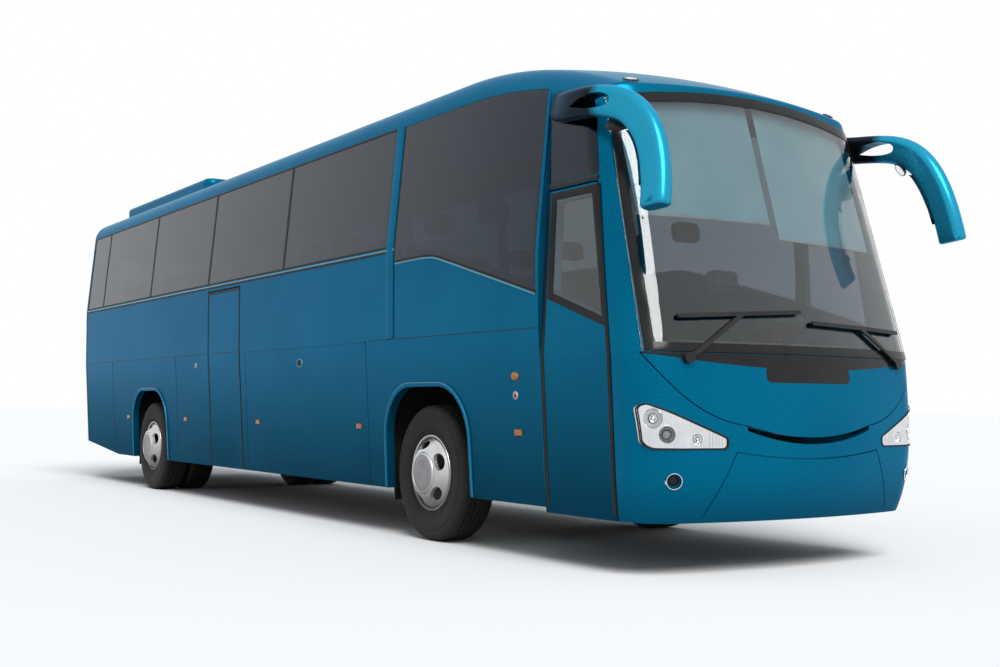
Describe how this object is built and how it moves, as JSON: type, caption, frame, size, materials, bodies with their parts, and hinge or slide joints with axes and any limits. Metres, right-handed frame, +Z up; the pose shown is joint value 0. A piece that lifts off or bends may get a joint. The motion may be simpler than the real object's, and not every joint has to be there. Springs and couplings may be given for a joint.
{
  "type": "coach bus",
  "caption": "Single-deck touring coach: raked wraparound windscreen, long tinted window band, outward-swinging doors, top-hinged luggage flaps, twin rear wheels and gooseneck mirrors.",
  "frame": {"origin": "on the ground, midway between the rear wall and the mirrors' front edge, on the centre plane", "axes": "+X forward in the direction of travel, +Y to the vehicle's left, +Z up"},
  "size_m": [12.3088, 2.7986, 3.6899],
  "materials": {
    "paint": "metallic gloss",
    "screen_glass": "clear",
    "tinted_glass": "tinted",
    "clear_lens": "clear",
    "lamp_chrome": "bright",
    "red_lens": "gloss",
    "amber_lens": "gloss",
    "black_plastic": "satin",
    "floor": "matte",
    "underbody": "matte",
    "steel": "satin",
    "iron": "matte",
    "upholstery": "woven",
    "blind_cloth": "woven",
    "tyre": "matte",
    "rim_steel": "satin"
  },
  "bodies": {
    "body": {"side_wall_right": "paint", "side_wall_left": "paint", "roof": "paint", "front_cap": "paint", "front_bumper": "paint", "service_flap": "paint", "rear_cap": "paint", "roof_units": "paint", "mirror_arms": "paint", "windscreen": "screen_glass", "side_glass": "tinted_glass", "rear_glass": "tinted_glass", "headlamp_lenses": "clear_lens", "headlamp_units": "lamp_chrome", "tail_lamps": "red_lens", "side_markers": "amber_lens", "cowl_panel": "black_plastic", "wipers": "black_plastic", "wheel_housings": "black_plastic", "dashboard": "black_plastic", "floor_deck": "floor", "steps": "floor", "luggage_hold": "underbody", "subframes": "underbody", "front_axle": "iron", "rear_axle": "iron", "engine": "iron", "passenger_seats": "upholstery", "driver_seat": "upholstery", "sun_blinds": "blind_cloth"},
    "engine_door": {"engine_door": "paint"},
    "front_door": {"front_door": "paint", "front_door_glass": "tinted_glass"},
    "front_door_arms": {"front_door_arms": "steel"},
    "mid_door": {"mid_door": "paint"},
    "mid_door_arms": {"mid_door_arms": "steel"},
    "luggage_flap_right": {"luggage_flap_right": "paint"},
    "luggage_flap_left_front": {"luggage_flap_left_front": "paint"},
    "luggage_flap_left_rear": {"luggage_flap_left_rear": "paint"},
    "knuckle_left": {"knuckle_left": "iron"},
    "knuckle_right": {"knuckle_right": "iron"},
    "wheel_front_left": {"front_tyre_left": "tyre", "front_rim_left": "rim_steel"},
    "wheel_front_right": {"front_tyre_right": "tyre", "front_rim_right": "rim_steel"},
    "wheel_rear_left": {"rear_tyres_left": "tyre", "rear_rims_left": "rim_steel"},
    "wheel_rear_right": {"rear_tyres_right": "tyre", "rear_rims_right": "rim_steel"},
    "steering_wheel": {"steering_wheel": "black_plastic"}
  },
  "joints": [
    {"name": "steer_right", "type": "hinge", "parent": "body", "child": "knuckle_right", "pos_m": [3.215, -0.9, 0.515], "axis": [0, 0, 1], "range_deg": [-45, 45]},
    {"name": "steer_left", "type": "hinge", "parent": "body", "child": "knuckle_left", "pos_m": [3.215, 0.9, 0.515], "axis": [0, 0, 1], "range_deg": [-45, 45]},
    {"name": "steering_wheel_turn", "type": "hinge", "parent": "body", "child": "steering_wheel", "pos_m": [5.095, 0.56, 1.56], "axis": [-0.4226, 0, 0.9063], "range_deg": [-810, 810]},
    {"name": "front_right_roll", "type": "hinge", "parent": "knuckle_right", "child": "wheel_front_right", "pos_m": [3.215, -1.045, 0.515], "axis": [0, 1, 0], "continuous": true},
    {"name": "front_left_roll", "type": "hinge", "parent": "knuckle_left", "child": "wheel_front_left", "pos_m": [3.215, 1.045, 0.515], "axis": [0, 1, 0], "continuous": true},
    {"name": "rear_right_roll", "type": "hinge", "parent": "body", "child": "wheel_rear_right", "pos_m": [-3.395, -0.884, 0.515], "axis": [0, 1, 0], "continuous": true},
    {"name": "rear_left_roll", "type": "hinge", "parent": "body", "child": "wheel_rear_left", "pos_m": [-3.395, 0.884, 0.515], "axis": [0, 1, 0], "continuous": true},
    {"name": "front_door_swing", "type": "hinge", "parent": "body", "child": "front_door_arms", "pos_m": [5.42, -1.085, 0.9], "axis": [0, 0, 1], "range_deg": [0, 110]},
    {"name": "front_door_parallel", "type": "hinge", "parent": "front_door_arms", "child": "front_door", "pos_m": [4.9, -1.085, 0.9], "axis": [0, 0, 1], "range_deg": [-110, 0]},
    {"name": "mid_door_swing", "type": "hinge", "parent": "body", "child": "mid_door_arms", "pos_m": [-1.28, -1.085, 0.9], "axis": [0, 0, -1], "range_deg": [0, 110]},
    {"name": "mid_door_parallel", "type": "hinge", "parent": "mid_door_arms", "child": "mid_door", "pos_m": [-0.76, -1.085, 0.9], "axis": [0, 0, -1], "range_deg": [-110, 0]},
    {"name": "luggage_flap_right_lift", "type": "hinge", "parent": "body", "child": "luggage_flap_right", "pos_m": [0.968, -1.26777, 1.545], "axis": [-1, 0, 0], "range_deg": [0, 95]},
    {"name": "luggage_flap_left_front_lift", "type": "hinge", "parent": "body", "child": "luggage_flap_left_front", "pos_m": [1.183, 1.26777, 1.545], "axis": [1, 0, 0], "range_deg": [0, 95]},
    {"name": "luggage_flap_left_rear_lift", "type": "hinge", "parent": "body", "child": "luggage_flap_left_rear", "pos_m": [-1.145, 1.26777, 1.545], "axis": [1, 0, 0], "range_deg": [0, 95]},
    {"name": "engine_door_lift", "type": "hinge", "parent": "body", "child": "engine_door", "pos_m": [-6.165, 0, 1.556], "axis": [0, 1, 0], "range_deg": [0, 95]}
  ],
  "couplings": [
    {"joint": "steer_left", "follows": "steer_right", "ratio": 1},
    {"joint": "steering_wheel_turn", "follows": "steer_right", "ratio": 18},
    {"joint": "front_door_parallel", "follows": "front_door_swing", "ratio": -1},
    {"joint": "mid_door_parallel", "follows": "mid_door_swing", "ratio": -1}
  ]
}
